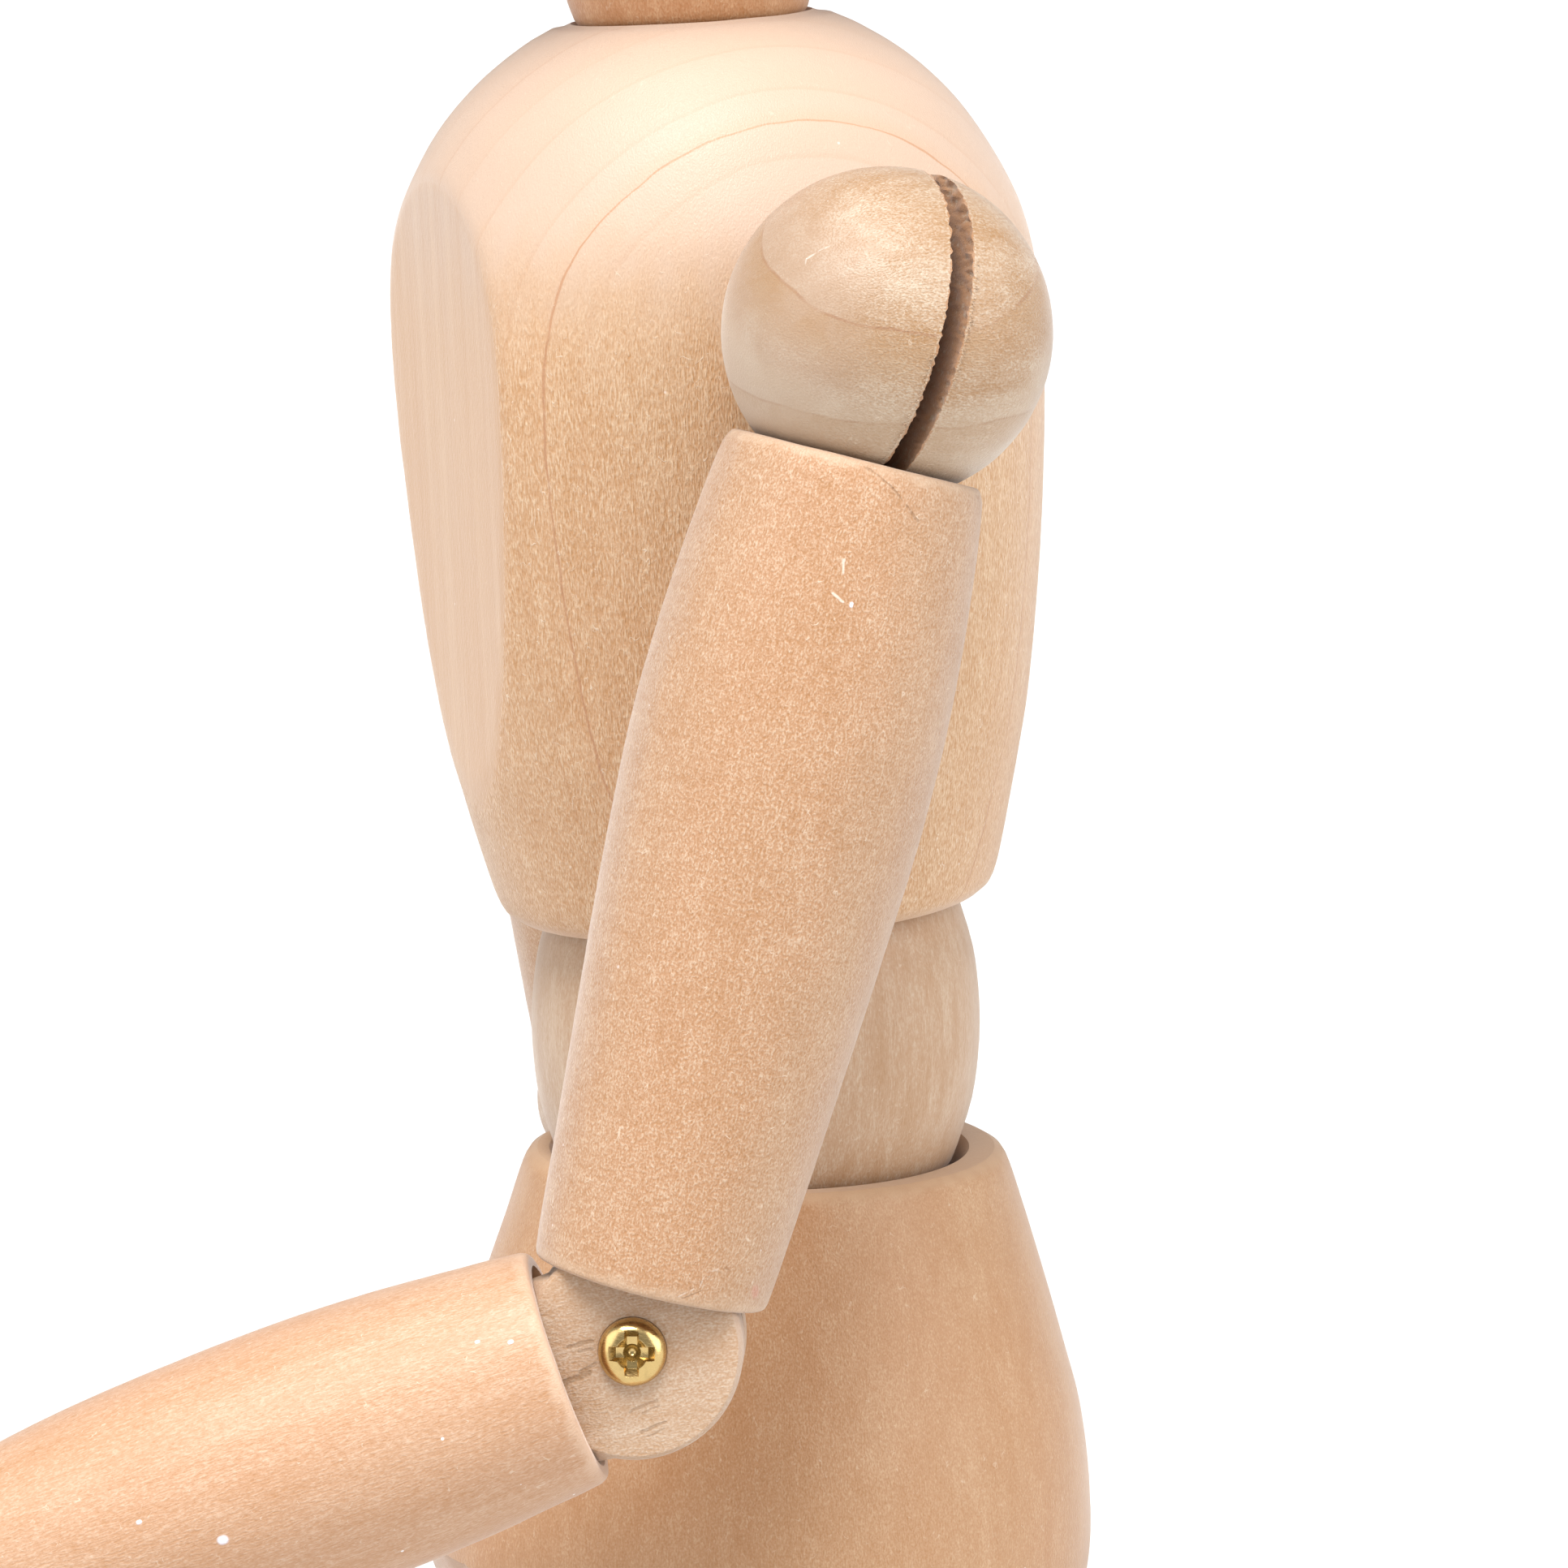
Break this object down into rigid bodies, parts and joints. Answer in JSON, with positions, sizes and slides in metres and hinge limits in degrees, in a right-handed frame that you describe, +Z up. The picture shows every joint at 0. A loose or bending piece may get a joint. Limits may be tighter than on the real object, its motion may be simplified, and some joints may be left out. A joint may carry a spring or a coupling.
{
  "type": "artist mannequin",
  "caption": "Jointed wooden figure for drawing practice, turned limbs with ball and knuckle joints, on a rod with a round base.",
  "frame": {"origin": "centre of the stand's underside", "axes": "+Z up, the figure faces -Y and its left side is +X"},
  "size_m": [0.0956, 0.1382, 0.306],
  "materials": {
    "ankle_ball_l": "fine sanded, waxed thinly",
    "ankle_ball_r": "fine sanded, waxed thinly",
    "base_disc": "fine sanded, waxed thinly",
    "elbow_inner_l": "fine sanded, waxed thinly",
    "elbow_inner_r": "fine sanded, waxed thinly",
    "elbow_outer_l": "fine sanded, waxed thinly",
    "elbow_outer_r": "fine sanded, waxed thinly",
    "elbow_screw_l": "polished",
    "elbow_screw_r": "polished",
    "foot_l": "fine sanded, waxed thinly",
    "foot_r": "fine sanded, waxed thinly",
    "forearm_l": "fine sanded, waxed thinly",
    "forearm_r": "fine sanded, waxed thinly",
    "hand_l": "fine sanded, waxed thinly",
    "hand_r": "fine sanded, waxed thinly",
    "head": "fine sanded, waxed thinly",
    "hip_ball_l": "fine sanded, waxed thinly",
    "hip_ball_r": "fine sanded, waxed thinly",
    "hip_link_l": "drawn wire",
    "hip_link_r": "drawn wire",
    "hip_pin_l": "drawn wire",
    "hip_pin_r": "drawn wire",
    "hip_spring": "drawn wire",
    "knee_inner_l": "fine sanded, waxed thinly",
    "knee_inner_r": "fine sanded, waxed thinly",
    "knee_outer_l": "fine sanded, waxed thinly",
    "knee_outer_r": "fine sanded, waxed thinly",
    "knee_screw_l": "polished",
    "knee_screw_r": "polished",
    "neck_barrel": "fine sanded, waxed thinly",
    "neck_spring": "drawn wire",
    "pelvis": "fine sanded, waxed thinly",
    "shin_l": "fine sanded, waxed thinly",
    "shin_r": "fine sanded, waxed thinly",
    "shoulder_ball_l": "fine sanded, waxed thinly",
    "shoulder_ball_r": "fine sanded, waxed thinly",
    "shoulder_link_l": "drawn wire",
    "shoulder_link_r": "drawn wire",
    "shoulder_pin_l": "drawn wire",
    "shoulder_pin_r": "drawn wire",
    "shoulder_spring": "drawn wire",
    "stand_rod": "satin",
    "thigh_l": "fine sanded, waxed thinly",
    "thigh_r": "fine sanded, waxed thinly",
    "torso": "fine sanded, waxed thinly",
    "upper_arm_l": "fine sanded, waxed thinly",
    "upper_arm_r": "fine sanded, waxed thinly",
    "waist_barrel": "fine sanded, waxed thinly",
    "waist_spring": "drawn wire",
    "wrist_ball_l": "fine sanded, waxed thinly",
    "wrist_ball_r": "fine sanded, waxed thinly"
  },
  "bodies": {
    "stand": {"base_disc": "base_disc", "stand_rod": "stand_rod"},
    "pelvis": {"pelvis": "pelvis", "hip_spring": "hip_spring"},
    "waist_barrel": {"waist_barrel": "waist_barrel"},
    "waist_core": {"waist_spring": "waist_spring"},
    "torso": {"torso": "torso", "shoulder_spring": "shoulder_spring"},
    "neck_barrel": {"neck_barrel": "neck_barrel"},
    "neck_core": {"neck_spring": "neck_spring"},
    "head": {"head": "head"},
    "shoulder_ball_l": {"shoulder_ball_l": "shoulder_ball_l", "shoulder_pin_l": "shoulder_pin_l"},
    "upper_arm_l": {"upper_arm_l": "upper_arm_l", "shoulder_link_l": "shoulder_link_l"},
    "elbow_inner_l": {"elbow_inner_l": "elbow_inner_l", "elbow_screw_l": "elbow_screw_l"},
    "elbow_outer_l": {"elbow_outer_l": "elbow_outer_l"},
    "forearm_l": {"forearm_l": "forearm_l"},
    "wrist_ball_l": {"wrist_ball_l": "wrist_ball_l"},
    "hand_l": {"hand_l": "hand_l"},
    "shoulder_ball_r": {"shoulder_ball_r": "shoulder_ball_r", "shoulder_pin_r": "shoulder_pin_r"},
    "upper_arm_r": {"upper_arm_r": "upper_arm_r", "shoulder_link_r": "shoulder_link_r"},
    "elbow_inner_r": {"elbow_inner_r": "elbow_inner_r", "elbow_screw_r": "elbow_screw_r"},
    "elbow_outer_r": {"elbow_outer_r": "elbow_outer_r"},
    "forearm_r": {"forearm_r": "forearm_r"},
    "wrist_ball_r": {"wrist_ball_r": "wrist_ball_r"},
    "hand_r": {"hand_r": "hand_r"},
    "hip_ball_l": {"hip_ball_l": "hip_ball_l", "hip_pin_l": "hip_pin_l"},
    "thigh_l": {"thigh_l": "thigh_l", "hip_link_l": "hip_link_l"},
    "knee_inner_l": {"knee_inner_l": "knee_inner_l", "knee_screw_l": "knee_screw_l"},
    "knee_outer_l": {"knee_outer_l": "knee_outer_l"},
    "shin_l": {"shin_l": "shin_l"},
    "ankle_ball_l": {"ankle_ball_l": "ankle_ball_l"},
    "foot_l": {"foot_l": "foot_l"},
    "hip_ball_r": {"hip_ball_r": "hip_ball_r", "hip_pin_r": "hip_pin_r"},
    "thigh_r": {"thigh_r": "thigh_r", "hip_link_r": "hip_link_r"},
    "knee_inner_r": {"knee_inner_r": "knee_inner_r", "knee_screw_r": "knee_screw_r"},
    "knee_outer_r": {"knee_outer_r": "knee_outer_r"},
    "shin_r": {"shin_r": "shin_r"},
    "ankle_ball_r": {"ankle_ball_r": "ankle_ball_r"},
    "foot_r": {"foot_r": "foot_r"}
  },
  "joints": [
    {"name": "figure_turn", "type": "hinge", "parent": "stand", "child": "pelvis", "pos_m": [0, 0, 0.177], "axis": [0, 0, 1], "continuous": true},
    {"name": "waist_side", "type": "hinge", "parent": "pelvis", "child": "waist_barrel", "pos_m": [0, -0.0092, 0.2066], "axis": [0, 1, 0], "range_deg": [-10, 10]},
    {"name": "waist_twist", "type": "hinge", "parent": "waist_barrel", "child": "waist_core", "pos_m": [0, -0.0092, 0.2066], "axis": [0, 0, 1], "range_deg": [-45, 45]},
    {"name": "waist_bend", "type": "hinge", "parent": "waist_core", "child": "torso", "pos_m": [0, -0.0092, 0.2066], "axis": [1, 0, 0], "range_deg": [-20, 16]},
    {"name": "neck_side", "type": "hinge", "parent": "torso", "child": "neck_barrel", "pos_m": [0, -0.01316, 0.26617], "axis": [0, 0.9978, 0.0663], "range_deg": [-18, 18]},
    {"name": "neck_turn", "type": "hinge", "parent": "neck_barrel", "child": "neck_core", "pos_m": [0, -0.01316, 0.26617], "axis": [0, -0.0663, 0.9978], "range_deg": [-80, 80]},
    {"name": "neck_nod", "type": "hinge", "parent": "neck_core", "child": "head", "pos_m": [0, -0.01316, 0.26617], "axis": [1, 0, 0], "range_deg": [-20, 20]},
    {"name": "shoulder_swing_l", "type": "hinge", "parent": "torso", "child": "shoulder_ball_l", "pos_m": [0.0262, -0.0119, 0.24731], "axis": [-1, 0, 0], "range_deg": [-12, 150]},
    {"name": "shoulder_lift_l", "type": "hinge", "parent": "shoulder_ball_l", "child": "upper_arm_l", "pos_m": [0.0262, -0.0119, 0.24731], "axis": [0, -0.9659, 0.2588], "range_deg": [0, 105]},
    {"name": "elbow_twist_l", "type": "hinge", "parent": "upper_arm_l", "child": "elbow_inner_l", "pos_m": [0.0262, -0.02576, 0.19559], "axis": [0, 0.2588, 0.9659], "range_deg": [-52, 80]},
    {"name": "elbow_bend_l", "type": "hinge", "parent": "elbow_inner_l", "child": "elbow_outer_l", "pos_m": [0.0262, -0.02576, 0.19559], "axis": [-0.9205, 0.3774, -0.1011], "range_deg": [-113, 1]},
    {"name": "forearm_twist_l", "type": "hinge", "parent": "elbow_outer_l", "child": "forearm_l", "pos_m": [0.0262, -0.02576, 0.19559], "axis": [-0.3239, -0.8819, -0.3426], "range_deg": [-80, 80]},
    {"name": "wrist_bend_l", "type": "hinge", "parent": "forearm_l", "child": "wrist_ball_l", "pos_m": [0.01276, -0.06236, 0.18137], "axis": [0.9205, -0.3774, 0.1011], "range_deg": [-30, 30]},
    {"name": "wrist_side_l", "type": "hinge", "parent": "wrist_ball_l", "child": "hand_l", "pos_m": [0.01276, -0.06236, 0.18137], "axis": [0.2185, 0.2826, -0.934], "range_deg": [-20, 20]},
    {"name": "shoulder_swing_r", "type": "hinge", "parent": "torso", "child": "shoulder_ball_r", "pos_m": [-0.0262, -0.0119, 0.24731], "axis": [-1, 0, 0], "range_deg": [-35, 150]},
    {"name": "shoulder_lift_r", "type": "hinge", "parent": "shoulder_ball_r", "child": "upper_arm_r", "pos_m": [-0.0262, -0.0119, 0.24731], "axis": [0, 0.9877, 0.1564], "range_deg": [-3, 96]},
    {"name": "elbow_twist_r", "type": "hinge", "parent": "upper_arm_r", "child": "elbow_inner_r", "pos_m": [-0.03458, -0.00363, 0.19507], "axis": [-0.1564, 0.1545, -0.9755], "range_deg": [-35, 80]},
    {"name": "elbow_bend_r", "type": "hinge", "parent": "elbow_inner_r", "child": "elbow_outer_r", "pos_m": [-0.03458, -0.00363, 0.19507], "axis": [-0.9781, -0.1617, 0.1312], "range_deg": [-63, 51]},
    {"name": "forearm_twist_r", "type": "hinge", "parent": "elbow_outer_r", "child": "forearm_r", "pos_m": [-0.03458, -0.00363, 0.19507], "axis": [0.1412, -0.0518, 0.9886], "range_deg": [-80, 80]},
    {"name": "wrist_bend_r", "type": "hinge", "parent": "forearm_r", "child": "wrist_ball_r", "pos_m": [-0.04044, -0.00148, 0.15404], "axis": [0.9781, 0.1617, -0.1312], "range_deg": [-30, 30]},
    {"name": "wrist_side_r", "type": "hinge", "parent": "wrist_ball_r", "child": "hand_r", "pos_m": [-0.04044, -0.00148, 0.15404], "axis": [-0.1531, 0.9855, 0.0735], "range_deg": [-20, 20]},
    {"name": "hip_swing_l", "type": "hinge", "parent": "pelvis", "child": "hip_ball_l", "pos_m": [0.0123, -0.009, 0.168], "axis": [-1, 0, 0], "range_deg": [-20, 70]},
    {"name": "hip_spread_l", "type": "hinge", "parent": "hip_ball_l", "child": "thigh_l", "pos_m": [0.0123, -0.009, 0.168], "axis": [0, -1, 0], "range_deg": [0, 26]},
    {"name": "knee_twist_l", "type": "hinge", "parent": "thigh_l", "child": "knee_inner_l", "pos_m": [0.0123, -0.009, 0.1015], "axis": [0, 0, 1], "range_deg": [-3, 35]},
    {"name": "knee_bend_l", "type": "hinge", "parent": "knee_inner_l", "child": "knee_outer_l", "pos_m": [0.0123, -0.009, 0.1015], "axis": [1, 0, 0], "range_deg": [-50, 50]},
    {"name": "shin_twist_l", "type": "hinge", "parent": "knee_outer_l", "child": "shin_l", "pos_m": [0.0123, -0.009, 0.1015], "axis": [0, 0, 1], "range_deg": [-3, 30]},
    {"name": "ankle_bend_l", "type": "hinge", "parent": "shin_l", "child": "ankle_ball_l", "pos_m": [0.0123, -0.009, 0.0375], "axis": [1, 0, 0], "range_deg": [-25, 25]},
    {"name": "ankle_side_l", "type": "hinge", "parent": "ankle_ball_l", "child": "foot_l", "pos_m": [0.0123, -0.009, 0.0375], "axis": [0, 1, 0], "range_deg": [-12, 12]},
    {"name": "hip_swing_r", "type": "hinge", "parent": "pelvis", "child": "hip_ball_r", "pos_m": [-0.0123, -0.009, 0.168], "axis": [-1, 0, 0], "range_deg": [-20, 70]},
    {"name": "hip_spread_r", "type": "hinge", "parent": "hip_ball_r", "child": "thigh_r", "pos_m": [-0.0123, -0.009, 0.168], "axis": [0, 1, 0], "range_deg": [0, 26]},
    {"name": "knee_twist_r", "type": "hinge", "parent": "thigh_r", "child": "knee_inner_r", "pos_m": [-0.0123, -0.009, 0.1015], "axis": [0, 0, -1], "range_deg": [-3, 35]},
    {"name": "knee_bend_r", "type": "hinge", "parent": "knee_inner_r", "child": "knee_outer_r", "pos_m": [-0.0123, -0.009, 0.1015], "axis": [1, 0, 0], "range_deg": [-50, 50]},
    {"name": "shin_twist_r", "type": "hinge", "parent": "knee_outer_r", "child": "shin_r", "pos_m": [-0.0123, -0.009, 0.1015], "axis": [0, 0, -1], "range_deg": [-3, 30]},
    {"name": "ankle_bend_r", "type": "hinge", "parent": "shin_r", "child": "ankle_ball_r", "pos_m": [-0.0123, -0.009, 0.0375], "axis": [1, 0, 0], "range_deg": [-25, 25]},
    {"name": "ankle_side_r", "type": "hinge", "parent": "ankle_ball_r", "child": "foot_r", "pos_m": [-0.0123, -0.009, 0.0375], "axis": [0, 1, 0], "range_deg": [-12, 12]}
  ]
}
